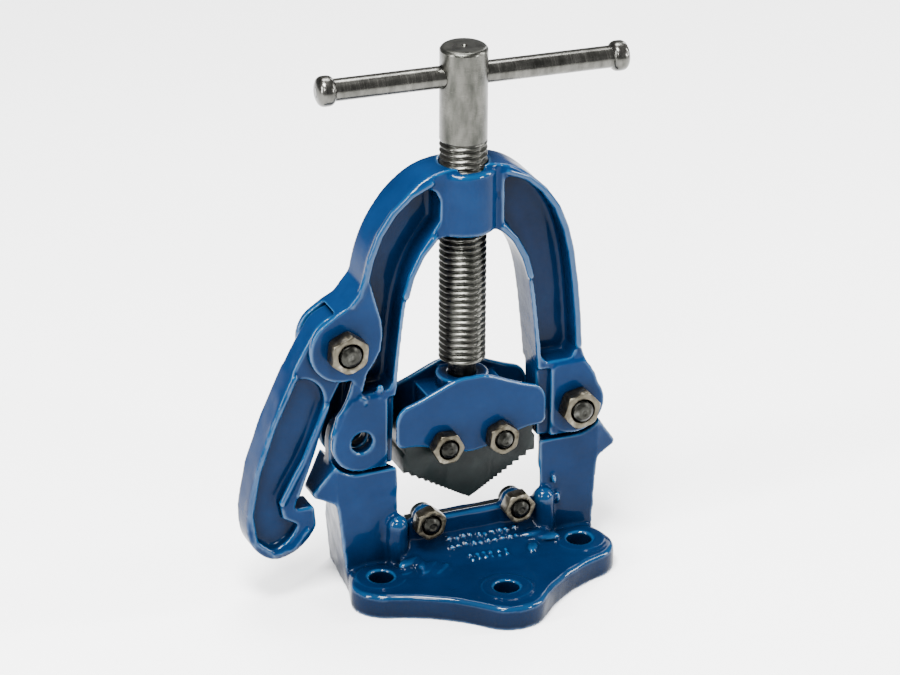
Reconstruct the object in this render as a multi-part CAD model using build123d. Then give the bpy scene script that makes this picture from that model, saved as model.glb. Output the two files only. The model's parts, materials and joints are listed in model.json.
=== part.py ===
from build123d import *
import math
import os

# Hinged-yoke pipe vise. Millimetres, +Z up, X to the right, the front faces -Y.
# The origin lies on the screw axis, on the flat underside of the foot.

# ---- driving dimensions -------------------------------------------------------------------
PIN_X = 54.5                # hinge pin and spare pin hole, left and right of the screw axis
PIN_Z = 77.0
PIVOT_X = -63.0             # latch hook pivot
PIVOT_Z = 127.0

M10_R = 5.0
M8_R = 4.0
BOLT_CLEARANCE = 0.25       # radial, bolted holes
PIVOT_CLEARANCE = 0.06      # radial, parts that turn on a bolt
NUT_CLEARANCE = 0.03        # radial, nut on its thread

FOOT_T = 12.0
FOOT_BACK_Y = 24.0
FOOT_HOLE_R = 6.0
SIDE_HOLE = (51.0, -25.0)
FRONT_HOLE = (0.0, -56.0)
SIDE_LUG = (49.2, -26.6)    # centre of the rounded foot lug
SIDE_LUG_R = 17.5
FRONT_LUG = (0.0, -57.2)
FOOT_HOLLOW = (80.8, -128.2)  # centre of the big hollow between the side and front lugs

UPRIGHT_IN_X = 36.3         # inner faces of the base uprights
UPRIGHT_FRONT_Y = -13.0     # at the foot; the front face leans back to the head
HEAD_FRONT_Y = -9.8
HEAD_BACK_Y = 13.0
HEAD_BOTTOM_Z = 46.0
NOSE_HALF_Y = 5.5           # at the tip
SEAT_R = 16.8               # hollow under each hinge lug
SEAT_EDGE_DX = 12.9         # outer rim of the hollow, from the pin axis
NOSE_TIP_X = 77.6
WALL_FRONT_Y = -12.0
WALL_BACK_Y = -7.5
WALL_TOP_Z = 31.0
WALL_PAD_R = 6.4            # round bosses of the wall in front of the studs
SHELF_Z = 20.0              # step behind the wall that carries the lower jaw
TONGUE_HALF_Y = 3.3

YOKE_HALF_Y = 10.0
YOKE_TOP_Z = 208.0
ARCH_SHIFT = -1.0           # the cast arch sits a little to the left of the screw axis
LUG_R = 14.9
LUG_HALF_Y = 10.8
FORK_HALF_Y = 3.6
EAR_R = 17.0
EAR_HALF_Y = 10.8
EAR_SLOT_HALF_Y = 7.2
BOSS_R = 16.0
BOSS_BOTTOM_Z = 174.6
WEB_FRONT_Y = 2.0           # web of the yoke's I-section
WEB_BACK_Y = 6.0
BOSS_TOP_Z = 206.0

HOOK_HALF_Y = 6.9
HOOK_WEB_HALF_Y = 1.9
HOOK_HEAD_R = 16.3
LIP_Z = 46.2                # upper face of the hook's lip

SCREW_R = 11.2
SCREW_BORE_R = 11.5
THREAD_PITCH = 3.0
THREAD_DEPTH = 1.5
THREAD_BOTTOM_Z = 108.0
THREAD_TOP_Z = 219.0
SCREW_TOP_Z = 263.8
NECK_R = 6.5
NECK_BOTTOM_Z = 83.0
PIN_GROOVE_Z = 88.0
RETAINER_X = 6.2            # pins that run through the neck groove, drilled from the back
RETAINER_HALF_Y = 9.5

BAR_R = 5.25
BAR_Z = 249.8
BAR_ANGLE = -3.8            # degrees about Z
BAR_OFFSET = 4.6            # bar centre from the screw axis
BALL_SPACING = 141.0
BALL_R = 7.15
BALL_W = 9.6
SPIGOT_R = 3.5

PLATE_IN_Y = 10.3           # jaw carrier plates, inner and outer faces
PLATE_OUT_Y = 13.0
CARRIER_HALF_X = 37.9
JAW_HALF_Y = 9.9
JAW_END = (33.6, 59.2)
JAW_APEX_Z = 37.6
UPPER_BOLT = (14.1, 69.8)
LOWER_STUD = (22.8, 31.2)
LOWER_JAW_FRONT_Y = -7.4
LOWER_JAW_BACK_Y = -2.4
LOWER_LOBE_BACK_Y = -4.4
LOWER_JAW_HALF_X = 30.5

FAR = 200.0                 # longer than the part, for cutters


# ---- helpers ------------------------------------------------------------------------------
def along_y(x, z, radius, y_front, y_back):
    """Cylinder whose axis runs along Y at (x, z)."""
    length = y_back - y_front
    return Pos(x, (y_front + y_back) / 2, z) * Rot(90, 0, 0) * Cylinder(radius, length)


def block(x0, x1, y0, y1, z0, z1):
    centre = Pos((x0 + x1) / 2, (y0 + y1) / 2, (z0 + z1) / 2)
    return centre * Box(x1 - x0, y1 - y0, z1 - z0)


def slab(face, y_front, y_back):
    """Extrude a face drawn in X and Z from y_front to y_back."""
    return Pos(0, y_back, 0) * extrude(Plane.XZ * face, y_back - y_front, dir=(0, -1, 0))


def mirrored(shape):
    return mirror(shape, about=Plane.YZ)


def both_sides(shape):
    return shape + mirrored(shape)


def hex_prism(x, z, across_flats, y_front, y_back, turn=0.0):
    face = Pos(x, z) * Rot(0, 0, turn) * RegularPolygon(across_flats / 2, 6, major_radius=False)
    prism = slab(face, y_front, y_back)
    corner_r = across_flats / math.sqrt(3)
    chamfered = along_y(x, z, corner_r, y_front, y_back)
    chamfered = chamfer(chamfered.edges().filter_by(GeomType.CIRCLE), corner_r * 0.1)
    return prism & chamfered


def nut(x, z, across_flats, thread_r, y_front, y_back, turn):
    return hex_prism(x, z, across_flats, y_front, y_back, turn) - along_y(
        x, z, thread_r + NUT_CLEARANCE, y_front - 1, y_back + 1)


def bolt(x, z, thread_r, y_front, y_head, head_af, head_t, turn):
    """Bolt with its threaded end at y_front and its hex head behind y_head."""
    shank = along_y(x, z, thread_r, y_front, y_head + head_t / 2)
    tip = shank.faces().sort_by(Axis.Y)[0].edges()
    shank = chamfer(tip, thread_r * 0.18)
    return shank + hex_prism(x, z, head_af, y_head, y_head + head_t, turn)


# ---- base ---------------------------------------------------------------------------------
def towards(start, target, distance):
    """Point at a distance from start on the way to target."""
    length = math.dist(start, target)
    return tuple(a + (b - a) * distance / length for a, b in zip(start, target))


def foot():
    """Flat three-lobed plate. The hollow edges run tangent into the rounded lugs."""
    hollow_r = math.dist(FOOT_HOLLOW, SIDE_LUG) - SIDE_LUG_R
    front_r = math.dist(FOOT_HOLLOW, FRONT_LUG) - hollow_r
    lug_end = towards(SIDE_LUG, FOOT_HOLLOW, SIDE_LUG_R)
    front_end = towards(FRONT_LUG, FOOT_HOLLOW, front_r)
    deepest = towards(FOOT_HOLLOW, (SIDE_LUG[0] / 2, FRONT_LUG[1] / 2), hollow_r)
    lug_start = (SIDE_LUG[0] + SIDE_LUG_R, SIDE_LUG[1])
    lug_middle = towards(SIDE_LUG, (SIDE_LUG[0] + 1, SIDE_LUG[1] - 1), SIDE_LUG_R)
    front_middle = towards(FRONT_LUG, (1, FRONT_LUG[1] - 2), front_r)
    front_tip = (0, FRONT_LUG[1] - front_r)
    straight = Polyline(front_tip, (0, FOOT_BACK_Y), (58.5, FOOT_BACK_Y), (62.8, -13), lug_start)
    lug = ThreePointArc(lug_start, lug_middle, lug_end)
    hollow = ThreePointArc(lug_end, deepest, front_end)
    front = ThreePointArc(front_end, front_middle, front_tip)
    plate = extrude(both_sides(make_face([straight, lug, hollow, front])), FOOT_T)
    rim = plate.faces().sort_by(Axis.Z)[-1].edges()
    plate = fillet(rim, 2.5)
    for x, y in (SIDE_HOLE, (-SIDE_HOLE[0], SIDE_HOLE[1]), FRONT_HOLE):
        pad = Cone(13.5, 12.0, 1.0, align=(Align.CENTER, Align.CENTER, Align.MIN))
        plate = plate + Pos(x, y, FOOT_T) * pad
    return plate


def upright():
    """Right upright: column that tapers to the back, hinge seat on top and latch nose outside."""
    low = Polygon((UPRIGHT_IN_X, UPRIGHT_FRONT_Y), (62.5, UPRIGHT_FRONT_Y), (58.5, FOOT_BACK_Y),
                  (51.5, FOOT_BACK_Y), align=None)
    high = Polygon((UPRIGHT_IN_X, HEAD_FRONT_Y), (67.0, HEAD_FRONT_Y), (62.5, FOOT_BACK_Y),
                   (51.5, FOOT_BACK_Y), align=None)
    column = loft([low, Pos(0, 0, HEAD_BOTTOM_Z) * high], ruled=True)
    corner = (PIN_X + SEAT_EDGE_DX, PIN_Z - math.sqrt(SEAT_R ** 2 - SEAT_EDGE_DX ** 2))
    seat = RadiusArc(corner, (PIN_X, PIN_Z - SEAT_R), SEAT_R)
    inner = Polyline((PIN_X, PIN_Z - SEAT_R), (UPRIGHT_IN_X, PIN_Z - SEAT_R),
                     (UPRIGHT_IN_X, HEAD_BOTTOM_Z), (67.0, HEAD_BOTTOM_Z), corner)
    head = slab(make_face([seat, inner]), HEAD_FRONT_Y, HEAD_BACK_Y)
    nose_outline = Polygon((60, 42), (66.6, 44), (67.2, HEAD_BOTTOM_Z), (NOSE_TIP_X - 0.8, 49.6),
                           (NOSE_TIP_X, 51.4), corner, (60, 56), align=None)
    nose_plan = Polygon((60, HEAD_FRONT_Y), (66.5, HEAD_FRONT_Y), (NOSE_TIP_X + 1, -NOSE_HALF_Y),
                        (NOSE_TIP_X + 1, NOSE_HALF_Y), (66.5, HEAD_BACK_Y), (60, HEAD_BACK_Y), align=None)
    nose = slab(nose_outline, HEAD_FRONT_Y, HEAD_BACK_Y) & extrude(nose_plan, FAR)
    body = column + head + nose
    rear_slope = Plane.YZ * Polygon((HEAD_BACK_Y, FAR), (HEAD_BACK_Y, 46), (FOOT_BACK_Y, 24),
                                    (FAR, 24), (FAR, FAR), align=None)
    inner_relief = Polygon((UPRIGHT_IN_X - 5, -8), (UPRIGHT_IN_X, -8), (51.5, FOOT_BACK_Y + 1),
                           (UPRIGHT_IN_X - 5, FOOT_BACK_Y + 1), align=None)
    return body - extrude(rear_slope, FAR, both=True) - extrude(inner_relief, FAR)


def tongue():
    head = Pos(PIN_X, PIN_Z) * Circle(13.8)
    neck = Pos(PIN_X, PIN_Z - 12) * Rectangle(27.6, 24.0)
    return slab(head + neck, -TONGUE_HALF_Y, TONGUE_HALF_Y)


def buttress():
    """Rounded rib where the upright meets the front wall."""
    x = UPRIGHT_IN_X + 1.3
    y = UPRIGHT_FRONT_Y + 1.0
    rib = Pos(x, y, 21) * Cylinder(5.4, 20)
    return rib + Pos(x, y, 31) * Sphere(5.4)


def front_wall():
    """Cross wall with its shelf and the hollow apron that runs down to the foot."""
    profile = Polyline((-40, 4), (8, 4), (8, SHELF_Z), (WALL_BACK_Y, SHELF_Z), (WALL_BACK_Y, WALL_TOP_Z),
                       (WALL_FRONT_Y + 0.8, WALL_TOP_Z), (WALL_FRONT_Y, WALL_TOP_Z - 0.8),
                       (WALL_FRONT_Y, 21.4))
    apron = ThreePointArc((WALL_FRONT_Y, 21.4), (-20, 14.8), (-40, FOOT_T - 0.5))
    heel = Line((-40, FOOT_T - 0.5), (-40, 4))
    face = Plane.YZ * make_face([profile, apron, heel])
    wall = extrude(face, UPRIGHT_IN_X + 1, both=True)
    x, z = LOWER_STUD
    pad = along_y(x, z, WALL_PAD_R, WALL_FRONT_Y - 0.5, WALL_BACK_Y)
    root = block(x - WALL_PAD_R, x + WALL_PAD_R, WALL_FRONT_Y - 0.5, WALL_BACK_Y, 14, z)
    return wall + both_sides(pad + root)


def base_casting():
    side = upright() + tongue() + buttress()
    body = foot() + front_wall() + both_sides(side)
    rear_wall = block(-UPRIGHT_IN_X - 1, UPRIGHT_IN_X + 1, FOOT_BACK_Y - 8, FOOT_BACK_Y, 2, 15)
    body = body + rear_wall
    stud_x, stud_z = LOWER_STUD
    for sign in (-1, 1):
        body = body - along_y(sign * PIN_X, PIN_Z, M10_R + PIVOT_CLEARANCE, -6, 6)
        body = body - along_y(sign * stud_x, stud_z, M8_R + BOLT_CLEARANCE, -30, WALL_BACK_Y + 1)
    for x, y in (SIDE_HOLE, (-SIDE_HOLE[0], SIDE_HOLE[1]), FRONT_HOLE):
        body = body - Pos(x, y, 10) * Cylinder(FOOT_HOLE_R, 40)
    return body


# ---- yoke ---------------------------------------------------------------------------------
OUTER_EDGE = [(0, YOKE_TOP_Z + 0.6), (22.5, 204.8), (41.6, 187), (51.8, 161), (55.6, 136), (57.8, 110)]
INNER_EDGE = [(36.0, 98), (35.2, 108), (33.4, 126), (31.0, 144), (27.8, 157), (22.3, 167), (14, 174.5)]


def leg_face():
    """Right half of the arch, drawn from the crown to the foot of the leg."""
    outer = Spline(*OUTER_EDGE, tangents=[(1, 0), (0.08, -1)])
    flare = ThreePointArc(OUTER_EDGE[-1], (60.4, 100.5), (65.8, 91.6))
    lug_side = Polyline((65.8, 91.6), (68.4, 82), (PIN_X, 62.2), (37, 62.2), INNER_EDGE[0])
    inner = Spline(*INNER_EDGE)
    crown = Polyline(INNER_EDGE[-1], (0, BOSS_BOTTOM_Z + 1), OUTER_EDGE[0])
    return make_face([outer, flare, lug_side, inner, crown])


def recess_face():
    """Hollow of the I-section between the flanges of the right leg."""
    outer = Spline((20, 200), (28, 196.8), (36, 190), (42.9, 180), (47.4, 169), (50.4, 156.5),
                   (52.8, 140), (54.4, 122), (55.4, 106))
    foot_end = Polyline((55.4, 106), (53, 101.6), (40.2, 101.6), (37.6, 105))
    inner = Spline((37.6, 105), (36.8, 114), (35.2, 128), (32.8, 146), (29.4, 158.5), (24.4, 169),
                   (18.6, 177))
    boss_end = Polyline((18.6, 177), (14.4, 183), (14, 193), (16.5, 198), (20, 200))
    return make_face([outer, foot_end, inner, boss_end])


def fork_slot():
    """Space for the base tongue, open downwards and outwards so that the yoke can swing."""
    edge = PIN_X - 15.6
    slot = block(edge, FAR, -FORK_HALF_Y, FORK_HALF_Y, 0, PIN_Z)
    head = along_y(PIN_X, PIN_Z, 14.6, -FORK_HALF_Y, FORK_HALF_Y)
    return slot + head + block(PIN_X, FAR, -FORK_HALF_Y, FORK_HALF_Y, PIN_Z, PIN_Z + 14.6)


def hook_ears():
    """Cheeks on the left leg that hold the latch hook between them."""
    disc = Pos(PIVOT_X, PIVOT_Z) * Circle(EAR_R)
    bridge = Polygon((-50.5, 160), (-56, 153.8), (-60.5, 148), (-66.5, 145), (-73, 140.7),
                     (PIVOT_X, PIVOT_Z), (-60, 110.5), (-54, 103), (-51.9, 112), (-47.8, 117.7),
                     (-45, 123), (-44, 130), (-44.4, 138), (-47, 147), align=None)
    return slab(disc + bridge, -EAR_HALF_Y, EAR_HALF_Y)


def hook_slot():
    swing = along_y(PIVOT_X, PIVOT_Z, HOOK_HEAD_R + 1.2, -EAR_SLOT_HALF_Y, EAR_SLOT_HALF_Y)
    below = Polygon((-50, 122), (-56.5, 100), (-60, 60), (-120, 60), (-120, 150), (-72, 150),
                    (-66, 144), align=None)
    return swing + slab(below, -EAR_SLOT_HALF_Y, EAR_SLOT_HALF_Y)


def yoke_casting():
    leg = slab(leg_face(), -YOKE_HALF_Y, YOKE_HALF_Y)
    recess = slab(recess_face(), -FAR, WEB_FRONT_Y) + slab(recess_face(), WEB_BACK_Y, FAR)
    lug = Pos(PIN_X, PIN_Z) * Circle(LUG_R)
    flat = Pos(PIN_X - 26.6, PIN_Z) * Rectangle(27, 60)  # leaves the lug's inner side flat
    collar = Polygon((PIN_X - 13.1, PIN_Z), (PIN_X - 13.1, 97), (PIN_X - 10, 99.5), (PIN_X + 4.5, 99.5),
                     (PIN_X + 8, 95.5), (PIN_X + 12.6, 84), align=None)
    lug_block = slab((lug - flat) + collar, -LUG_HALF_Y, LUG_HALF_Y)
    strip = block(0, PIN_X - 13.1, -FAR, -YOKE_HALF_Y + 3, 0, 98)
    strip = strip + block(0, PIN_X - 13.1, YOKE_HALF_Y - 3, FAR, 0, 98)
    arch = Pos(ARCH_SHIFT, 0, 0) * both_sides(leg - recess) - both_sides(strip)
    body = arch + both_sides(lug_block) + hook_ears()
    height = BOSS_TOP_Z - BOSS_BOTTOM_Z
    boss = Pos(0, 0, BOSS_BOTTOM_Z + height / 2) * Cylinder(BOSS_R, height)
    boss = fillet(boss.edges().filter_by(GeomType.CIRCLE), 2.0)
    body = body + boss
    body = body - both_sides(fork_slot()) - hook_slot()
    body = body - Pos(0, 0, YOKE_TOP_Z - 20) * Cylinder(SCREW_BORE_R, 80)
    for x, z in ((PIN_X, PIN_Z), (-PIN_X, PIN_Z), (PIVOT_X, PIVOT_Z)):
        body = body - along_y(x, z, M10_R + BOLT_CLEARANCE, -30, 30)
    return body


# ---- latch hook ---------------------------------------------------------------------------
def hook_face():
    """Teardrop lever with its notch and lip, in the latch's rest position."""
    left = Spline((-77.0, 135.2), (-87.8, 116), (-98.4, 92), (-106.4, 69), (-110.6, 47), (-108.4, 31.0),
                  (-97.5, 21.8), (-84, 26.0), (-76.0, 36.0))
    lip = Polyline((-76.0, 36.0), (-77.0, LIP_Z - 1), (-77.8, LIP_Z), (-87.0, LIP_Z))
    wall = Polyline((-87.0, LIP_Z), (-83.6, 56), (-76.2, 76), (-69.5, 97), (-62, 111))
    close = Line((-62, 111), (PIVOT_X, PIVOT_Z))
    shoulder = Line((PIVOT_X, PIVOT_Z), (-77.0, 135.2))
    head = Pos(PIVOT_X, PIVOT_Z) * Circle(HOOK_HEAD_R)
    return make_face([left, lip, wall, close, shoulder]) + head


def hook_recess_face():
    left = Spline((-84.8, 113.4), (-96.2, 90.6), (-103.9, 68), (-107.6, 47.5), (-105.4, 33.8), (-98, 27.4))
    low_end = ThreePointArc((-98, 27.4), (-90.6, 30.4), (-85.8, 38.2))
    lip_end = Polyline((-85.8, 38.2), (-92.6, 42.4), (-94.4, 51))
    right = Spline((-94.4, 51), (-88.4, 62.4), (-83.4, 71), (-77.4, 84.6), (-72.0, 99))
    top_end = ThreePointArc((-72.0, 99), (-75.4, 109.4), (-84.8, 113.4))
    return make_face([left, low_end, lip_end, right, top_end])


def latch_hook():
    body = slab(hook_face(), -HOOK_HALF_Y, HOOK_HALF_Y)
    recess = slab(hook_recess_face(), -FAR, -HOOK_WEB_HALF_Y) + slab(hook_recess_face(), HOOK_WEB_HALF_Y, FAR)
    return body - recess - along_y(PIVOT_X, PIVOT_Z, M10_R + PIVOT_CLEARANCE, -20, 20)


# ---- screw, tommy bar ---------------------------------------------------------------------
def main_screw():
    """Turned screw. Its thread is drawn as rings at the true pitch and depth."""
    profile = [(0, NECK_BOTTOM_Z), (NECK_R - 0.8, NECK_BOTTOM_Z), (NECK_R, NECK_BOTTOM_Z + 0.8)]
    groove_r = RETAINER_X - 1.65
    profile += [(NECK_R, PIN_GROOVE_Z - 1.65), (groove_r, PIN_GROOVE_Z - 1.65)]
    profile += [(groove_r, PIN_GROOVE_Z + 1.65), (NECK_R, PIN_GROOVE_Z + 1.65)]
    profile += [(NECK_R, THREAD_BOTTOM_Z), (SCREW_R - THREAD_DEPTH, THREAD_BOTTOM_Z)]
    turns = round((THREAD_TOP_Z - THREAD_BOTTOM_Z) / THREAD_PITCH)
    for turn in range(turns):
        z = THREAD_BOTTOM_Z + turn * THREAD_PITCH
        profile += [(SCREW_R, z + THREAD_PITCH * 0.42), (SCREW_R, z + THREAD_PITCH * 0.58)]
        profile += [(SCREW_R - THREAD_DEPTH, z + THREAD_PITCH)]
    profile += [(SCREW_R, THREAD_TOP_Z + THREAD_DEPTH), (SCREW_R, SCREW_TOP_Z - 1.5)]
    profile += [(SCREW_R - 1.5, SCREW_TOP_Z), (1.6, SCREW_TOP_Z), (0, SCREW_TOP_Z - 1.6)]
    turned = revolve(Plane.XZ * Polygon(*profile, align=None), Axis.Z)
    cross_hole = Pos(0, 0, BAR_Z) * Rot(0, 0, BAR_ANGLE) * Rot(0, 90, 0) * Cylinder(BAR_R + 0.2, 40)
    return turned - cross_hole


def on_bar(shape):
    """Place a shape that was drawn along +X about its own centre at the bar's centre."""
    return Pos(0, 0, BAR_Z) * Rot(0, 0, BAR_ANGLE) * Pos(BAR_OFFSET, 0, 0) * shape


def tommy_bar():
    half = BALL_SPACING / 2
    seat = half - BALL_W / 2
    rod = Rot(0, 90, 0) * Cylinder(BAR_R, 2 * seat)
    spigots = Rot(0, 90, 0) * Cylinder(SPIGOT_R, 2 * (half + BALL_W / 2 - 1.5))
    return on_bar(rod + spigots)


def tommy_ball(sign):
    """Turned end: a barrel with well rounded rims, pressed on the bar's spigot."""
    barrel = Rot(0, 90, 0) * Cylinder(BALL_R, BALL_W)
    barrel = fillet(barrel.edges().filter_by(GeomType.CIRCLE), BALL_W * 0.4)
    blind = Pos(-1.5 * sign, 0, 0) * Rot(0, 90, 0) * Cylinder(SPIGOT_R, BALL_W)
    return on_bar(Pos(sign * BALL_SPACING / 2, 0, 0) * (barrel - blind))


# ---- jaw carrier and jaws -----------------------------------------------------------------
def plate_face():
    """Right half of a carrier plate: humped top, rounded end, sagging lower edge."""
    top = Spline((0, 102.2), (8, 101.7), (16, 98.6), (24, 95.2), (31.5, 92.6))
    end = ThreePointArc((31.5, 92.6), (35.8, 89.8), (CARRIER_HALF_X, 84.5))
    side = Line((CARRIER_HALF_X, 84.5), (CARRIER_HALF_X, 74))
    corner = ThreePointArc((CARRIER_HALF_X, 74), (36.6, 72), (34, 71.2))
    low = Spline((34, 71.2), (20, 68.6), (9, 64.8), (0, 63.4))
    centre = Line((0, 63.4), (0, 102.2))
    return make_face([top, end, side, corner, low, centre])


def jaw_carrier():
    front = both_sides(slab(plate_face(), -PLATE_OUT_Y, -PLATE_IN_Y))
    rear = both_sides(slab(plate_face(), PLATE_IN_Y, PLATE_OUT_Y))
    hub = block(-20, 20, -PLATE_IN_Y, PLATE_IN_Y, 77.5, 93)
    collar = Pos(0, 0, 90) * Cylinder(PLATE_OUT_Y - 0.5, 20)
    body = front + rear + hub + collar
    body = body - Pos(0, 0, 95) * Cylinder(NECK_R + PIVOT_CLEARANCE, 30)
    bolt_x, bolt_z = UPPER_BOLT
    for sign in (-1, 1):
        body = body - along_y(sign * bolt_x, bolt_z, M8_R + BOLT_CLEARANCE, -20, 20)
        body = body - along_y(sign * RETAINER_X, PIN_GROOVE_Z, 1.5, -RETAINER_HALF_Y, FAR)
    return body


def stair_teeth(end, centre_z, coarse):
    """Stepped teeth from the end of a V towards its middle, coarse first and finer inwards."""
    end_x, end_z = end
    slope = (end_z - centre_z) / end_x
    points = []
    x = end_x
    while x > 3.0:
        run = 0.5 + coarse * x / end_x
        next_x = x - run
        points += [(x, centre_z + slope * next_x), (next_x, centre_z + slope * next_x)]
        x = next_x
    return points + [(0, centre_z)]


def upper_jaw():
    teeth = stair_teeth(JAW_END, JAW_APEX_Z, 3.6)
    outline = [(0, 77), (32.4, 77), (32.4, 66), (JAW_END[0], 64.5)] + teeth
    body = both_sides(slab(Polygon(*outline, align=None), -JAW_HALF_Y, JAW_HALF_Y))
    bolt_x, bolt_z = UPPER_BOLT
    for sign in (-1, 1):
        body = body - along_y(sign * bolt_x, bolt_z, M8_R + BOLT_CLEARANCE, -20, 20)
    return body


def lower_jaw():
    """Toothed cradle bar that stands on the shelf behind the front wall."""
    stud_x, stud_z = LOWER_STUD
    teeth = stair_teeth((LOWER_JAW_HALF_X, WALL_TOP_Z - 0.3), WALL_TOP_Z - 2.6, 2.4)
    outline = [(0, SHELF_Z + 0.05), (LOWER_JAW_HALF_X, SHELF_Z + 0.05)] + teeth
    lobe = along_y(stud_x, stud_z, M8_R + 1.5, LOWER_JAW_FRONT_Y, LOWER_LOBE_BACK_Y)
    bar = slab(Polygon(*outline, align=None), LOWER_JAW_FRONT_Y, LOWER_JAW_BACK_Y)
    body = both_sides(bar + lobe)
    for sign in (-1, 1):
        body = body - along_y(sign * stud_x, stud_z, M8_R + NUT_CLEARANCE, -20, 20)
    return body


def lower_stud(sign):
    stud = along_y(sign * LOWER_STUD[0], LOWER_STUD[1], M8_R, -21.0, LOWER_LOBE_BACK_Y)
    return chamfer(stud.edges().filter_by(GeomType.CIRCLE), M8_R * 0.18)


def retaining_pin(sign):
    return along_y(sign * RETAINER_X, PIN_GROOVE_Z, 1.48, 0.1 - RETAINER_HALF_Y, RETAINER_HALF_Y)


def thrust_pad():
    top = NECK_BOTTOM_Z - 0.05
    return Pos(0, 0, top) * Cylinder(5.9, 2.9, align=(Align.CENTER, Align.CENTER, Align.MAX))


# ---- assembly -----------------------------------------------------------------------------
UPPER_X, UPPER_Z = UPPER_BOLT
LOWER_X, LOWER_Z = LOWER_STUD
NUT10_AF = 17.0
NUT8_AF = 14.0

nodes = {
    "base_casting": base_casting(),
    "yoke_casting": yoke_casting(),
    "latch_hook": latch_hook(),
    "main_screw": main_screw(),
    "tommy_bar": tommy_bar(),
    "tommy_ball_left": tommy_ball(-1),
    "tommy_ball_right": tommy_ball(1),
    "jaw_carrier": jaw_carrier(),
    "upper_jaw": upper_jaw(),
    "lower_jaw": lower_jaw(),
    "thrust_pad": thrust_pad(),
    "hinge_bolt": bolt(PIN_X, PIN_Z, M10_R, -21.0, LUG_HALF_Y, NUT10_AF, 6.4, 12),
    "hinge_nut": nut(PIN_X, PIN_Z, NUT10_AF, M10_R, -18.8, -LUG_HALF_Y, 12),
    "hook_bolt": bolt(PIVOT_X, PIVOT_Z, M10_R, -21.0, EAR_HALF_Y, NUT10_AF, 6.4, 24),
    "hook_nut": nut(PIVOT_X, PIVOT_Z, NUT10_AF, M10_R, -18.8, -EAR_HALF_Y, 24),
}
for side, sign in (("left", -1), ("right", 1)):
    nodes["upper_jaw_bolt_" + side] = bolt(sign * UPPER_X, UPPER_Z, M8_R, -21.2, PLATE_OUT_Y,
                                           13.0, 5.3, 10)
    nodes["upper_jaw_nut_" + side] = nut(sign * UPPER_X, UPPER_Z, NUT8_AF, M8_R, -19.4,
                                         -PLATE_OUT_Y, 10 + 12 * sign)
    nodes["lower_jaw_stud_" + side] = lower_stud(sign)
    nodes["lower_jaw_nut_" + side] = nut(sign * LOWER_X, LOWER_Z, NUT8_AF, M8_R, -19.1,
                                         WALL_FRONT_Y - 0.5, 12 - 6 * sign)
    nodes["screw_retaining_pin_" + side] = retaining_pin(sign)

os.makedirs("parts", exist_ok=True)
for name, shape in nodes.items():
    export_step(shape, "parts/" + name + ".step")
    print(name, "solids", len(shape.solids()), "volume", round(shape.volume, 1))
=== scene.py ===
import json
import math
import random

import bmesh
import bpy
import numpy as np
from mathutils import Matrix, Vector, noise
from mathutils.bvhtree import BVHTree


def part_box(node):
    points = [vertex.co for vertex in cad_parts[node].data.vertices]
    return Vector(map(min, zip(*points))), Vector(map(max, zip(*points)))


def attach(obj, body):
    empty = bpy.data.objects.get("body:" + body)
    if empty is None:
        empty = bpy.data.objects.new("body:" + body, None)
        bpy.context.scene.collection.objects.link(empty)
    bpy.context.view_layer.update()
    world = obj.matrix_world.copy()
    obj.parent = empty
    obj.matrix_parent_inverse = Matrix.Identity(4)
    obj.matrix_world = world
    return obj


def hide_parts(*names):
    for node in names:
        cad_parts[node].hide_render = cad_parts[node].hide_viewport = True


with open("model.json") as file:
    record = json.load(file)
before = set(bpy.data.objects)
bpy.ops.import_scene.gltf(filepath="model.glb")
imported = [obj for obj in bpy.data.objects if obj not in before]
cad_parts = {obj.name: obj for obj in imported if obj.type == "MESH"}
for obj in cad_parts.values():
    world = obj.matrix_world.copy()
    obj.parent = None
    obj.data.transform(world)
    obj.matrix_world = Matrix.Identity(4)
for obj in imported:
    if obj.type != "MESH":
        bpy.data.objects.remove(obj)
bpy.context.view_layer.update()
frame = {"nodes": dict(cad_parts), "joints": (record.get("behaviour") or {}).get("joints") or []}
NODES = frame["nodes"]
JOINTS = {joint["name"]: joint for joint in frame["joints"]}
SIDES = {"left": -1, "right": 1}
MM = 0.001


# ---- places taken from the frame ------------------------------------------------------------
def node_box(node):
    low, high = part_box(node)
    return Vector(low), Vector(high)


def middle(node):
    low, high = node_box(node)
    return (low + high) / 2


SCREW_LOW, SCREW_HIGH = node_box("main_screw")
SCREW_R = (SCREW_HIGH.x - SCREW_LOW.x) / 2
BAR_LOW, BAR_HIGH = node_box("tommy_bar")
BAR_CENTRE = middle("tommy_bar")
BAR_R = (BAR_HIGH.z - BAR_LOW.z) / 2
BAR_AXIS = Vector(JOINTS["bar_slide"]["axis"]).normalized()

# ---- sizes that repeat the CAD's ------------------------------------------------------------
PITCH = 3.0 * MM
THREAD_DEPTH = 1.5 * MM
THREAD_LOW_Z = 108.0 * MM
THREAD_HIGH_Z = 219.0 * MM
NECK_R = 6.5 * MM
NECK_CHAMFER = 0.8 * MM
GROOVE_Z = 88.0 * MM        # groove of the screw's neck for the two retaining pins
GROOVE_HALF = 1.65 * MM
GROOVE_R = 4.55 * MM
HOLE_CLEARANCE = 0.2 * MM   # round the tommy bar
BALL_W = 9.6 * MM
BALL_R = 7.15 * MM
BALL_AT = 70.5 * MM         # from the bar's centre
M10_R, M10_PITCH = 5.0 * MM, 1.5 * MM
M8_R, M8_PITCH = 4.0 * MM, 1.25 * MM
M10_SINK_R = 6.2 * MM       # countersinks of the nuts
M8_SINK_R = 5.1 * MM

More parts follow.
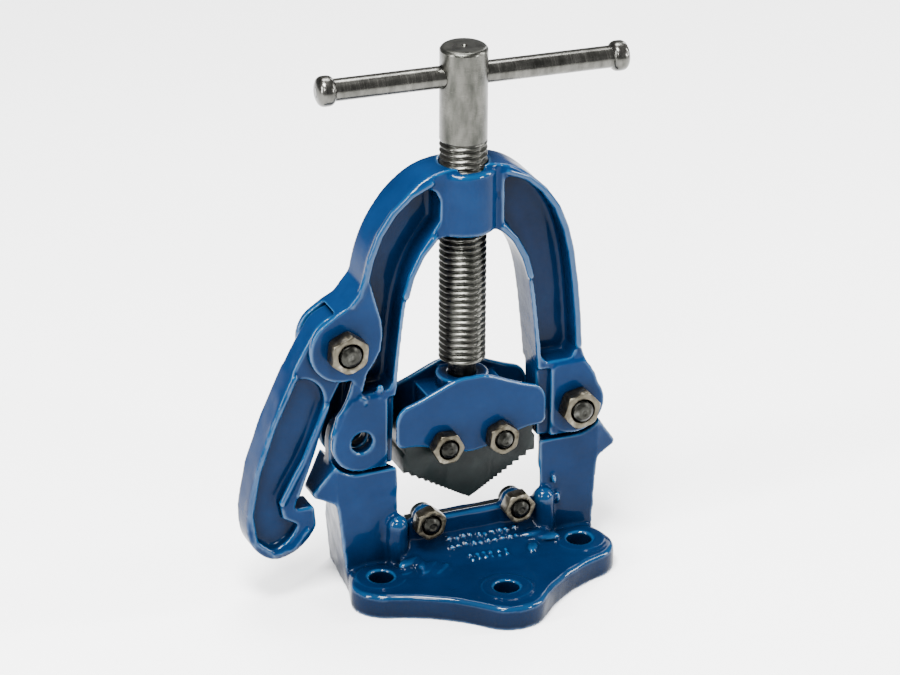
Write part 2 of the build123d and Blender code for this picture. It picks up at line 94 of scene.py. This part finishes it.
# ---- cast details, in millimetres as (x, z) or (x, y) or (x, y, z) --------------------------
ARCH_SHIFT = -1.0
YOKE_FRONT_Y = -9.9
HOOK_FACE_Y = 6.8
FLANGE_OUTER = [(19, 203), (29, 198.6), (37.4, 191), (44.3, 181), (48.9, 169.5), (51.8, 157),
                (54.1, 140), (55.8, 122), (56.6, 107)]
FLANGE_TO_EAR = [(-52.0, 160.5), (-54.8, 152.5), (-59.5, 147.2)]
FLANGE_ABOVE_EAR = 5        # points of the left outer flange that lie above the ear
FLANGE_INNER = [(31.3, 148), (28.6, 157.8), (23.4, 168), (16.5, 175.8)]
BOSS_RIDGE = [(15.5, 177.5), (15.5, 203.5)]
FLANGE_BEAD_R = 1.9
RIDGE_BEAD_R = 1.2
HOOK_RIM = [(-86.3, 114.7), (-97.3, 91.3), (-105.2, 68.5), (-109.1, 47.3), (-106.9, 32.4),
            (-97.8, 24.6), (-88, 26.5), (-80.5, 35)]
HOOK_RIB = [(-93.2, 51), (-87.4, 61.8), (-82.4, 70.5), (-76.4, 84.2), (-70.6, 98)]
HOOK_EDGE = [(-85.4, 54), (-77.7, 76), (-71.0, 97)]
RIM_BEAD_R, RIB_BEAD_R, EDGE_BEAD_R = 1.7, 1.8, 1.4
PIP_ROWS = [[(-11.7, -15.8), (21.1, -16.3)], [(-5.1, -24.8), (12.7, -25.4)]]
PIP_STEP = 3.3 * MM
PIP_LINE_HALF = 1.6         # half the distance between the two lines of a row
PIP_SHIFT = (0.5, 0.4)      # greatest random shift in x and y
PIP_R = (1.2, 1.5)
# runs of thick enamel: place and size
FOOT_RUNS = [((27, -24), 2.0), ((34, -20), 2.6), ((30, -18), 2.2), ((-34, -20), 2.4),
             ((-38, -26), 2.0), ((-26, -25), 2.6), ((-21, -28), 2.2), ((-30, -22), 2.2)]
UPRIGHT_RUNS = [((40.5, -12.9, 19), 2.0), ((45, -12.6, 30), 1.2), ((65, -8.5, 55), 1.2),
                ((67.5, -7.5, 51.5), 1.0), ((43.0, -12.3, 40), 1.0), ((-42, -12.6, 24), 1.3)]
YOKE_RUNS = [((-55.1, -10.4, 100), 1.0), ((-53.2, -10.6, 98.4), 1.2), ((-45.2, -9.8, 103), 1.3),
             ((-46.0, -9.8, 98.5), 1.1), ((-56.2, -9.9, 150), 1.0)]

# ---- colours, linear ------------------------------------------------------------------------
ENAMEL_COLOURS = [(0.25, (0.0006, 0.0080, 0.031)), (0.55, (0.0008, 0.0118, 0.044)),
                  (0.8, (0.0014, 0.0175, 0.060))]
# lighter blue mixed in on convex edges: a painted highlight, with the lighter tone of thin enamel there
ENAMEL_EDGE_HIGHLIGHT = (0.0025, 0.038, 0.100, 1.0)
JAW_COLOURS = [(0.3, (0.0010, 0.0022, 0.0024)), (0.6, (0.0028, 0.0055, 0.0056)),
               (0.85, (0.010, 0.013, 0.012))]
FLOOR_COLOURS = [(0.3, (0.92, 0.92, 0.92)), (0.7, (0.95, 0.95, 0.95))]


# ---- node materials -------------------------------------------------------------------------
def new_material(name, roughness, metallic=0.0, coat=0.0, specular=0.5):
    mat = bpy.data.materials.new(name)
    mat.use_nodes = True
    shader = mat.node_tree.nodes["Principled BSDF"]
    shader.inputs["Metallic"].default_value = metallic
    shader.inputs["Roughness"].default_value = roughness
    shader.inputs["Coat Weight"].default_value = coat
    shader.inputs["Coat Roughness"].default_value = 0.05
    shader.inputs["Specular IOR Level"].default_value = specular
    return mat, mat.node_tree, shader


def add_node(tree, kind, values):
    """New node with some input values set by socket name."""
    node = tree.nodes.new(kind)
    for socket, value in values.items():
        node.inputs[socket].default_value = value
    return node


def add_noise(tree, scale, detail, rough=0.55, stretch=None):
    """Noise in object coordinates, with scale in features per metre."""
    place = tree.nodes.new("ShaderNodeTexCoord").outputs["Object"]
    if stretch is not None:
        mapping = add_node(tree, "ShaderNodeMapping", {"Scale": stretch})
        tree.links.new(place, mapping.inputs["Vector"])
        place = mapping.outputs["Vector"]
    tex = add_node(tree, "ShaderNodeTexNoise", {"Scale": scale, "Detail": detail, "Roughness": rough})
    tree.links.new(place, tex.inputs["Vector"])
    return tex.outputs["Fac"]


def add_ramp(tree, value, stops):
    """Colour ramp; stops are (position, colour) with three-number colours."""
    ramp = tree.nodes.new("ShaderNodeValToRGB")
    elements = ramp.color_ramp.elements
    while len(elements) < len(stops):
        elements.new(0.5)
    for element, (position, colour) in zip(elements, stops):
        element.position = position
        element.color = (*colour, 1.0)
    tree.links.new(value, ramp.inputs["Fac"])
    return ramp.outputs["Color"]


def add_range(tree, value, low, high, start=0.0, end=1.0):
    """Maps start to end onto low to high."""
    limits = {"From Min": start, "From Max": end, "To Min": low, "To Max": high}
    node = add_node(tree, "ShaderNodeMapRange", limits)
    tree.links.new(value, node.inputs["Value"])
    return node.outputs["Result"]


def add_bump(tree, shader, value, strength, distance, before=None):
    bump = add_node(tree, "ShaderNodeBump", {"Strength": strength, "Distance": distance})
    tree.links.new(value, bump.inputs["Height"])
    if before is not None:
        tree.links.new(before, bump.inputs["Normal"])
    tree.links.new(bump.outputs["Normal"], shader.inputs["Normal"])
    return bump.outputs["Normal"]


def scaled(tree, colour, factor):
    product = tree.nodes.new("ShaderNodeVectorMath")
    product.operation = "SCALE"
    tree.links.new(colour, product.inputs[0])
    tree.links.new(factor, product.inputs["Scale"])
    return product.outputs["Vector"]


def painted_shade_in_hollows(tree, colour, reach, darkest):
    """Colour with painted shade in hollows, from ambient occlusion; reach is in metres."""
    hollow = add_node(tree, "ShaderNodeAmbientOcclusion", {"Distance": reach})
    hollow.samples = 6
    shade = add_range(tree, hollow.outputs["AO"], darkest, 1.0, start=0.35, end=0.95)
    return scaled(tree, colour, shade)


def painted_shade_below(tree, colour):
    """Colour with painted shade, darker towards the foot."""
    coords = tree.nodes.new("ShaderNodeTexCoord")
    split = tree.nodes.new("ShaderNodeSeparateXYZ")
    tree.links.new(coords.outputs["Object"], split.inputs["Vector"])
    shade = add_range(tree, split.outputs["Z"], 0.55, 1.0, start=14 * MM, end=45 * MM)
    return scaled(tree, colour, shade)


def on_edges(tree):
    """Factor that rises to 1 on convex edges, where a painted highlight colour goes with the lighter
    blue of thin enamel and a heavier coat.
    """
    geometry = tree.nodes.new("ShaderNodeNewGeometry")
    return add_range(tree, geometry.outputs["Pointiness"], 0.0, 1.0, start=0.508, end=0.545)


def blue_enamel():
    mat, tree, shader = new_material("blue_enamel", 0.2, coat=0.10, specular=0.015)
    colour = add_ramp(tree, add_noise(tree, 28, 4), ENAMEL_COLOURS)
    edge = on_edges(tree)
    # painted highlight: lighter blue mixed into the colour on convex edges
    mix = tree.nodes.new("ShaderNodeMix")
    mix.data_type = "RGBA"
    tree.links.new(edge, mix.inputs["Factor"])
    # painted shade: colour darkened in hollows and towards the foot
    tree.links.new(painted_shade_below(tree, painted_shade_in_hollows(tree, colour, 16 * MM, 0.35)), mix.inputs["A"])
    mix.inputs["B"].default_value = ENAMEL_EDGE_HIGHLIGHT
    tree.links.new(mix.outputs["Result"], shader.inputs["Base Color"])
    tree.links.new(add_range(tree, edge, 0.10, 1.0), shader.inputs["Coat Weight"])
    tree.links.new(add_range(tree, add_noise(tree, 160, 3), 0.14, 0.30), shader.inputs["Roughness"])
    peel = add_bump(tree, shader, add_noise(tree, 420, 2), 0.3, 0.15 * MM)
    add_bump(tree, shader, add_noise(tree, 95, 3), 0.5, 0.4 * MM, before=peel)
    return mat


def steel(name, dark, light, roughness, lay_scale, bump, lay):
    """Metal with fine turning marks; lay is the stretch of the marks along each axis."""
    mat, tree, shader = new_material(name, roughness, metallic=1.0)
    marks = add_noise(tree, lay_scale, 2, 0.6, stretch=lay)
    patches = add_noise(tree, 240, 4, stretch=(1.0, 1.0, 0.35))
    colour = add_ramp(tree, patches, [(0.3, dark), (0.7, light)])
    # painted shade in hollows such as the thread roots
    tree.links.new(painted_shade_in_hollows(tree, colour, 1.5 * MM, 0.8), shader.inputs["Base Color"])
    tree.links.new(add_range(tree, marks, roughness * 0.6, roughness * 1.6), shader.inputs["Roughness"])
    add_bump(tree, shader, marks, bump, 0.08 * MM)
    return mat


def plated_steel(name, dark, mid, light):
    """Plated fastener metal with cloudy patches."""
    mat, tree, shader = new_material(name, 0.32, metallic=1.0)
    colour = add_ramp(tree, add_noise(tree, 180, 5), [(0.3, dark), (0.6, mid), (0.8, light)])
    # painted shade in hollows
    tree.links.new(painted_shade_in_hollows(tree, colour, 2 * MM, 0.3), shader.inputs["Base Color"])
    tree.links.new(add_range(tree, add_noise(tree, 700, 3), 0.22, 0.48), shader.inputs["Roughness"])
    add_bump(tree, shader, add_noise(tree, 900, 3), 0.25, 0.1 * MM)
    return mat


def jaw_steel():
    """Hardened steel with a black finish."""
    mat, tree, shader = new_material("jaw_steel", 0.45, specular=0.12)
    colour = add_ramp(tree, add_noise(tree, 90, 5), JAW_COLOURS)
    tree.links.new(colour, shader.inputs["Base Color"])
    tree.links.new(add_range(tree, add_noise(tree, 300, 4), 0.30, 0.6), shader.inputs["Roughness"])
    add_bump(tree, shader, add_noise(tree, 600, 4), 0.35, 0.2 * MM)
    return mat


def floor_material():
    mat, tree, shader = new_material("studio_floor", 0.75, specular=0.2)
    tree.links.new(add_ramp(tree, add_noise(tree, 3, 3), FLOOR_COLOURS), shader.inputs["Base Color"])
    add_bump(tree, shader, add_noise(tree, 250, 3), 0.05, 0.3 * MM)
    return mat


ENAMEL = blue_enamel()
BRIGHT = steel("bright_steel", (0.030, 0.031, 0.027), (0.086, 0.085, 0.076), 0.28,
               lay_scale=2600, bump=0.5, lay=(0.05, 0.05, 1.0))
BAR_STEEL = steel("bar_steel", (0.038, 0.038, 0.034), (0.105, 0.103, 0.094), 0.22,
                  lay_scale=1800, bump=0.15, lay=(1.0, 0.05, 0.05))
ZINC = plated_steel("zinc_steel", (0.026, 0.022, 0.015), (0.085, 0.077, 0.058), (0.26, 0.24, 0.20))
BOLT_STEEL = plated_steel("bolt_steel", (0.008, 0.008, 0.007), (0.024, 0.024, 0.021),
                          (0.10, 0.10, 0.09))
JAW = jaw_steel()


# ---- mesh helpers ---------------------------------------------------------------------------
def in_scene(name, mesh):
    obj = bpy.data.objects.new(name, mesh)
    bpy.context.scene.collection.objects.link(obj)
    return obj


def piece(name, mesh, mat, body, node):
    """Finished piece that stands in for a CAD node."""
    obj = in_scene(name, mesh)
    obj.data.materials.clear()
    obj.data.materials.append(mat)
    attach(obj, body)
    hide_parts(node)


def shade_smooth(mesh, sharp_degrees=None):
    mesh.polygons.foreach_set("use_smooth", [True] * len(mesh.polygons))
    mesh.update()
    if sharp_degrees is not None:
        mesh.set_sharp_from_angle(angle=math.radians(sharp_degrees))


def baked(obj):
    """Mesh of a temporary object with its modifiers applied; the object is removed."""
    graph = bpy.context.evaluated_depsgraph_get()
    graph.update()
    mesh = bpy.data.meshes.new_from_object(obj.evaluated_get(graph))
    bpy.data.objects.remove(obj)
    return mesh


def mesh_of(bm, name):
    """Mesh made from bm, which is freed."""
    mesh = bpy.data.meshes.new(name)
    bm.to_mesh(mesh)
    bm.free()
    return mesh


def welded_copy(node, extra=None):
    """Closed copy of a CAD node's mesh, with an optional bmesh filler that adds to it."""
    bm = bmesh.new()
    bm.from_mesh(NODES[node].data)
    bmesh.ops.remove_doubles(bm, verts=bm.verts, dist=1e-6)
    if extra is not None:
        extra(bm)
    return mesh_of(bm, node + "_copy")


def add_bevel(obj, width, from_degrees):
    """Small rounding on the edges sharper than the given angle."""
    edge = obj.modifiers.new("edge", "BEVEL")
    edge.width = width
    edge.segments = 2
    edge.limit_method = "ANGLE"
    edge.angle_limit = math.radians(from_degrees)
    return edge


def add_blob(bm, place, size, squash=(1.0, 1.0, 1.0), turn=Matrix.Identity(4), detail=3):
    shape = Matrix.Translation(place) @ turn @ Matrix.Diagonal((*squash, 1.0))
    bmesh.ops.create_icosphere(bm, subdivisions=detail, radius=size, matrix=shape)


def waved(mesh, wave):
    """Coordinates of the skin, moved along its normals by slow noise of the given height."""
    waves_per_metre = 110
    coords = np.zeros(len(mesh.vertices) * 3)
    mesh.vertices.foreach_get("co", coords)
    normals = np.zeros(len(mesh.vertices) * 3)
    mesh.vertices.foreach_get("normal", normals)
    coords = coords.reshape(-1, 3)
    lift = np.array([noise.noise(Vector(point) * waves_per_metre) for point in coords])
    return coords + normals.reshape(-1, 3) * (lift * wave)[:, None]


def cast_piece(node, body, voxel, extra=None, wave=0.18 * MM, smooth=10):
    """Casting under thick enamel: the CAD shape with softened edges and a slightly wavy skin."""
    obj = in_scene("temp", welded_copy(node, extra))
    remesh = obj.modifiers.new("remesh", "REMESH")
    remesh.mode = "VOXEL"
    remesh.voxel_size = voxel
    soften = obj.modifiers.new("soften", "SMOOTH")
    soften.factor = 0.5
    soften.iterations = smooth
    mesh = baked(obj)
    coords = waved(mesh, wave)
    coords[:, 2] = np.maximum(coords[:, 2], node_box(node)[0].z)  # keeps a flat underside flat
    mesh.vertices.foreach_set("co", coords.ravel())
    shade_smooth(mesh)
    piece(node + "_enamelled", mesh, ENAMEL, body, node)


def countersunk(mesh, radius):
    """Open the front rim of a nut's bore to the given radius."""
    front = min(vertex.co.y for vertex in mesh.vertices)
    xs = [vertex.co.x for vertex in mesh.vertices]
    zs = [vertex.co.z for vertex in mesh.vertices]
    x, z = (min(xs) + max(xs)) / 2, (min(zs) + max(zs)) / 2
    for vertex in mesh.vertices:
        reach = math.hypot(vertex.co.x - x, vertex.co.z - z)
        if vertex.co.y < front + 0.01 * MM and reach < radius:
            vertex.co.x = x + (vertex.co.x - x) * radius / reach
            vertex.co.z = z + (vertex.co.z - z) * radius / reach


def edged_piece(node, body, mat, bevel=0.3 * MM, sink_radius=0.0):
    """Machined piece: the CAD shape with a small real bevel on its edges."""
    mesh = welded_copy(node)
    if sink_radius:
        countersunk(mesh, sink_radius)
    obj = in_scene("temp", mesh)
    add_bevel(obj, bevel, 28).harden_normals = True
    mesh = baked(obj)
    shade_smooth(mesh)
    piece(node + "_finished", mesh, mat, body, node)


# ---- turned shapes and helical threads ------------------------------------------------------
def along(axis):
    """Rotation that turns +Z to the given axis."""
    return axis.to_track_quat("Z", "Y").to_matrix().to_4x4()


def turned_mesh(name, stations, around=96):
    """Closed turned mesh about Z; stations are (z, radius function of the angle)."""
    bm = bmesh.new()
    rings = []
    for z, radius_at in stations:
        ring = []
        for i in range(around):
            angle = 2 * math.pi * i / around
            r = radius_at(angle)
            ring.append(bm.verts.new((r * math.cos(angle), r * math.sin(angle), z)))
        rings.append(ring)
    for low, high in zip(rings, rings[1:]):
        for i in range(around):
            j = (i + 1) % around
            bm.faces.new((low[i], low[j], high[j], high[i]))
    for ring, flip in ((rings[0], True), (rings[-1], False)):
        centre = bm.verts.new((0, 0, ring[0].co.z))
        for i in range(around):
            a, b = ring[i], ring[(i + 1) % around]
            bm.faces.new((b, a, centre) if flip else (a, b, centre))
    return mesh_of(bm, name)


def plain(z, radius):
    """Station with the same radius all round."""
    return (z, lambda angle: radius)


def thread_height(phase):
    """0 at the root and 1 at the crest of a rounded V thread; phase is 0 to 1 along the pitch."""
    ridge = 1.0 - abs(2.0 * phase - 1.0)
    return min(1.0, max(0.0, 1.25 * ridge - 0.08))


def threaded_stations(z0, z1, major, depth, pitch, fade, per_pitch=10):
    """Stations of a right-hand thread that fades in at z0 and out at z1."""
    count = int(round((z1 - z0) / pitch * per_pitch))
    stations = []
    for k in range(count + 1):
        z = z0 + (z1 - z0) * k / count
        grow = min(1.0, (z - z0) / fade, (z1 - z) / fade)

        def radius_at(angle, z=z, grow=grow):
            phase = (z / pitch - angle / (2 * math.pi)) % 1.0
            cut = depth * (1.0 - thread_height(phase))
            return major - cut * max(0.0, grow)
        stations.append((z, radius_at))
    return stations


# ---- screw ----------------------------------------------------------------------------------
def neck_stations():
    """Chamfered neck with its pin groove, up to the root of the thread."""
    low = SCREW_LOW.z
    groove_low, groove_high = GROOVE_Z - GROOVE_HALF, GROOVE_Z + GROOVE_HALF
    flank = 0.05 * MM
    return [plain(low, NECK_R - NECK_CHAMFER), plain(low + NECK_CHAMFER, NECK_R),
            plain(groove_low, NECK_R), plain(groove_low + flank, GROOVE_R),
            plain(groove_high - flank, GROOVE_R), plain(groove_high, NECK_R),
            plain(THREAD_LOW_Z - 0.1 * MM, NECK_R), plain(THREAD_LOW_Z, SCREW_R - THREAD_DEPTH)]


def shank_stations():
    """Plain shank above the thread, in even steps so that the cross hole cuts cleanly."""
    step = 4 * MM
    end = SCREW_HIGH.z - 1.5 * MM
    stations = [plain(THREAD_HIGH_Z + 0.3 * MM, SCREW_R), plain(THREAD_HIGH_Z + step, SCREW_R)]
    z = THREAD_HIGH_Z + 2 * step
    while z < end - step:
        stations.append(plain(z, SCREW_R))
        z += step
    return stations + [plain(end - 0.2 * MM, SCREW_R), plain(end, SCREW_R)]


def top_stations():
    """Rounded rim, flat top and the centre mark of the lathe."""
    top = SCREW_HIGH.z
    return [plain(top - 0.9 * MM, SCREW_R - 0.35 * MM), plain(top - 0.4 * MM, SCREW_R - 0.8 * MM),
            plain(top, SCREW_R - 1.5 * MM), plain(top, SCREW_R - 4 * MM), plain(top, 3 * MM),
            plain(top, 1.6 * MM), plain(top - 1.3 * MM, 0.3 * MM)]


def hole_cutter():
    """Cylinder that cuts the tommy bar's cross hole."""
    place = Matrix.Translation((0, 0, BAR_CENTRE.z)) @ along(BAR_AXIS)
    radius = BAR_R + HOLE_CLEARANCE
    bm = bmesh.new()
    bmesh.ops.create_cone(bm, cap_ends=True, segments=64, radius1=radius, radius2=radius,
                          depth=40 * MM, matrix=place)
    return in_scene("cutter", mesh_of(bm, "cutter"))


def build_screw():
    thread = threaded_stations(THREAD_LOW_Z + 0.2 * MM, THREAD_HIGH_Z, SCREW_R, THREAD_DEPTH, PITCH,
                               fade=PITCH / 2)
    stations = neck_stations() + thread + shank_stations() + top_stations()
    screw = in_scene("temp", turned_mesh("screw", stations))
    cutter = hole_cutter()
    cut = screw.modifiers.new("cross_hole", "BOOLEAN")
    cut.operation = "DIFFERENCE"
    cut.solver = "EXACT"
    cut.object = cutter
    add_bevel(screw, 0.35 * MM, 50)
    mesh = baked(screw)
    bpy.data.objects.remove(cutter)
    shade_smooth(mesh, sharp_degrees=40)
    piece("main_screw_threaded", mesh, BRIGHT, "screw", "main_screw")


# ---- fasteners ------------------------------------------------------------------------------
def shrink_shank(mesh, centre, radius, thread_end):
    """Pull the CAD shank in behind the thread that is laid over it."""
    shrink = 0.75
    for vertex in mesh.vertices:
        dx, dz = vertex.co.x - centre.x, vertex.co.z - centre.z
        if math.hypot(dx, dz) < radius * 1.01 and vertex.co.y < thread_end:
            vertex.co.x = centre.x + dx * shrink
            vertex.co.z = centre.z + dz * shrink
            vertex.co.y += 0.4 * MM


def thread_over(bm, centre, y_tip, length, radius, pitch):
    """Helical front thread with a dished and chamfered tip, added to bm as a closed shell."""
    stations = [plain(0.8 * MM, 0.5 * MM), plain(0.1 * MM, 1.4 * MM), plain(0, radius - 1.8 * MM),
                plain(0.12 * MM, radius - 1.5 * MM), plain(1.3 * MM, radius - 0.4 * MM)]
    stations += threaded_stations(1.4 * MM, length, radius, depth=pitch * 0.55, pitch=pitch,
                                  fade=pitch * 0.8, per_pitch=8)
    stations += [plain(length + 0.3 * MM, radius)]
    mesh = turned_mesh("thread", stations, around=48)
    mesh.transform(Matrix.Translation((centre.x, y_tip, centre.z)) @ along(Vector((0, 1, 0))))
    bm.from_mesh(mesh)
    bpy.data.meshes.remove(mesh)


def fastener(node, body, radius, pitch):
    """Bolt or stud: CAD shank and head with a real thread at the front end."""
    low = node_box(node)[0]
    centre = middle(node)
    thread_length = 10.5 * MM
    obj = in_scene("temp", welded_copy(node))
    add_bevel(obj, 0.25 * MM, 28)
    mesh = baked(obj)
    shrink_shank(mesh, centre, radius, low.y + thread_length)
    bm = bmesh.new()
    bm.from_mesh(mesh)
    thread_over(bm, centre, low.y, thread_length, radius, pitch)
    bm.to_mesh(mesh)
    bm.free()
    shade_smooth(mesh, sharp_degrees=38)
    piece(node + "_threaded", mesh, BOLT_STEEL, body, node)


# ---- tommy bar ------------------------------------------------------------------------------
def bar_turned(name, node, stations):
    """Turned piece on the tommy bar's axis; stations are measured from the bar's centre."""
    mesh = turned_mesh(name, stations, around=64)
    mesh.transform(Matrix.Translation(BAR_CENTRE) @ along(BAR_AXIS))
    shade_smooth(mesh, sharp_degrees=50)
    piece(name, mesh, BAR_STEEL, "bar", node)


def ball_stations(sign):
    """Barrel with well rounded rims, drawn as a superellipse."""
    steps = 28
    stations = []
    for k in range(steps + 1):
        t = math.sin(math.pi * (k / steps - 0.5))
        swell = (1.0 - abs(t) ** 3.2) ** (1 / 2.4)
        stations.append(plain(sign * BALL_AT + t * BALL_W / 2, max(0.35, swell) * BALL_R))
    return stations


def build_bar():
    steps = 40
    half = BALL_AT - BALL_W / 2 + 1.5 * MM
    rod = [plain(-half + 2 * half * k / steps, BAR_R) for k in range(steps + 1)]
    bar_turned("tommy_bar_turned", "tommy_bar", rod)
    for side, sign in SIDES.items():
        bar_turned("tommy_ball_turned_" + side, "tommy_ball_" + side, ball_stations(sign))


# ---- cast details ---------------------------------------------------------------------------
def bead(bm, path, y, radius):
    """Raised cast bead along a path of (x, z) points in millimetres, at the given depth y."""
    step = 0.8
    for (x0, z0), (x1, z1) in zip(path, path[1:]):
        count = max(1, int(math.hypot(x1 - x0, z1 - z0) / step))
        for k in range(count):
            t = k / count
            place = Vector((x0 + (x1 - x0) * t, y, z0 + (z1 - z0) * t)) * MM
            add_blob(bm, place, radius * MM, detail=2)


def add_runs(bm, runs, scale, squash):
    """Runs of thick enamel at places in millimetres."""
    for place, size in runs:
        add_blob(bm, Vector(place) * MM, size * scale * MM, squash)


def top_of(surface, x, y):
    """Point on the upper surface at x, y in metres."""
    return surface.ray_cast(Vector((x, y, 40 * MM)), Vector((0, 0, -1)))[0]


def add_pips(bm, surface, rng):
    """Rows of small round cast pips on the apron, two lines to a row and slightly uneven."""
    shift_x, shift_y = PIP_SHIFT
    for start, end in PIP_ROWS:
        first, last = Vector(start) * MM, Vector(end) * MM
        count = int((last - first).length / PIP_STEP) + 1
        for k in range(count):
            spot = first.lerp(last, k / (count - 1))
            for offset in (-PIP_LINE_HALF, PIP_LINE_HALF):
                x = spot.x + rng.uniform(-shift_x, shift_x) * MM
                y = spot.y + (offset + rng.uniform(-shift_y, shift_y)) * MM
                size = rng.uniform(*PIP_R) * MM
                add_blob(bm, top_of(surface, x, y), size, squash=(0.9, 1.0, 1.35))


def base_details(bm):
    """Pips on the apron and runs of thick enamel on the foot and uprights."""
    surface = BVHTree.FromBMesh(bm)
    rng = random.Random(7)
    add_pips(bm, surface, rng)
    for (x, y), size in FOOT_RUNS:
        turn = Matrix.Rotation(rng.uniform(0, math.pi), 4, "Z")
        add_blob(bm, top_of(surface, x * MM, y * MM), size * 1.5 * MM, (2.2, 1.0, 0.55), turn)
    add_runs(bm, UPRIGHT_RUNS, scale=1.4, squash=(0.8, 0.7, 1.8))


def yoke_details(bm):
    """Raised beads along the flanges of the I-section and a few runs of enamel."""
    for sign in SIDES.values():
        outer, inner = ([(sign * x + ARCH_SHIFT, z) for x, z in path]
                        for path in (FLANGE_OUTER, FLANGE_INNER))
        if sign < 0:
            outer = outer[:FLANGE_ABOVE_EAR] + FLANGE_TO_EAR
        bead(bm, outer, YOKE_FRONT_Y, FLANGE_BEAD_R)
        bead(bm, inner, YOKE_FRONT_Y, FLANGE_BEAD_R)
    bead(bm, BOSS_RIDGE, YOKE_FRONT_Y, RIDGE_BEAD_R)
    add_runs(bm, YOKE_RUNS, scale=1.5, squash=(1.0, 0.8, 1.4))


def hook_details(bm):
    """Raised rim and rib of the latch hook, on both faces."""
    for y in (-HOOK_FACE_Y, HOOK_FACE_Y):
        bead(bm, HOOK_RIM, y, RIM_BEAD_R)
        bead(bm, HOOK_RIB, y, RIB_BEAD_R)
        bead(bm, HOOK_EDGE, y, EDGE_BEAD_R)


# ---- all pieces -----------------------------------------------------------------------------
cast_piece("base_casting", "base", voxel=0.75 * MM, extra=base_details, wave=0.3 * MM)
cast_piece("yoke_casting", "yoke", voxel=0.75 * MM, extra=yoke_details, wave=0.12 * MM)
cast_piece("latch_hook", "hook", voxel=0.7 * MM, extra=hook_details)
cast_piece("jaw_carrier", "carrier", voxel=0.6 * MM, wave=0.1 * MM, smooth=7)
build_screw()
build_bar()
for name, body in (("upper_jaw", "carrier"), ("lower_jaw", "base"), ("thrust_pad", "carrier")):
    edged_piece(name, body, JAW)
for name in ("hinge", "hook"):
    fastener(name + "_bolt", "yoke", M10_R, M10_PITCH)
    edged_piece(name + "_nut", "yoke", ZINC, sink_radius=M10_SINK_R)
for side in SIDES:
    fastener("upper_jaw_bolt_" + side, "carrier", M8_R, M8_PITCH)
    edged_piece("upper_jaw_nut_" + side, "carrier", ZINC, sink_radius=M8_SINK_R)
    fastener("lower_jaw_stud_" + side, "base", M8_R, M8_PITCH)
    edged_piece("lower_jaw_nut_" + side, "base", ZINC, sink_radius=M8_SINK_R)
    edged_piece("screw_retaining_pin_" + side, "carrier", ZINC, bevel=0.15 * MM)


# ---- floor, light and camera ----------------------------------------------------------------
def floor():
    bm = bmesh.new()
    bmesh.ops.create_grid(bm, x_segments=8, y_segments=8, size=6.0)
    obj = in_scene("studio_floor", mesh_of(bm, "studio_floor"))
    obj.data.materials.append(floor_material())


def area_light(name, place, target, size, power):
    data = bpy.data.lights.new(name, "AREA")
    data.shape = "RECTANGLE"
    data.size, data.size_y = size
    data.energy = power
    obj = in_scene(name, data)
    obj.location = place
    obj.rotation_euler = (Vector(target) - Vector(place)).to_track_quat("-Z", "Y").to_euler()


def soft_world(strength):
    world = bpy.data.worlds.new("studio")
    world.use_nodes = True
    background = world.node_tree.nodes["Background"]
    background.inputs["Color"].default_value = (1.0, 1.0, 1.0, 1.0)
    background.inputs["Strength"].default_value = strength
    bpy.context.scene.world = world


def add_camera(place, turn, down, roll, lens):
    """Camera turned by turn degrees about Z, tilted down degrees below level, then rolled."""
    data = bpy.data.cameras.new("main_camera")
    data.sensor_width = 36.0
    data.lens = lens
    camera = in_scene("main_camera", data)
    pose = Matrix.Translation(place) @ Matrix.Rotation(math.radians(turn), 4, "Z")
    pose = pose @ Matrix.Rotation(math.radians(90 - down), 4, "X")
    camera.matrix_world = pose @ Matrix.Rotation(math.radians(roll), 4, "Z")
    bpy.context.scene.camera = camera


floor()
PART_CENTRE = (0.0, 0.0, 0.12)
area_light("key", (-0.35, -0.35, 1.40), PART_CENTRE, (0.50, 0.36), 70)
area_light("front", (1.05, -1.15, 0.60), PART_CENTRE, (0.20, 0.35), 20)
area_light("near_camera", (-1.05, -1.45, 1.35), PART_CENTRE, (0.40, 0.30), 34)
area_light("left", (-1.3, -0.25, 0.65), PART_CENTRE, (0.16, 0.9), 30)
area_light("right", (1.25, -0.25, 0.65), PART_CENTRE, (0.20, 0.9), 24)
area_light("back", (1.1, 1.0, 0.9), PART_CENTRE, (0.25, 0.8), 8)
area_light("overhead", (0.25, 0.75, 2.1), (0.25, 0.65, 0.0), (1.0, 0.6), 75)
soft_world(0.42)
add_camera((-0.665834, -1.584580, 0.939121), turn=-22.6034, down=25.5589, roll=0.2915, lens=162.61)
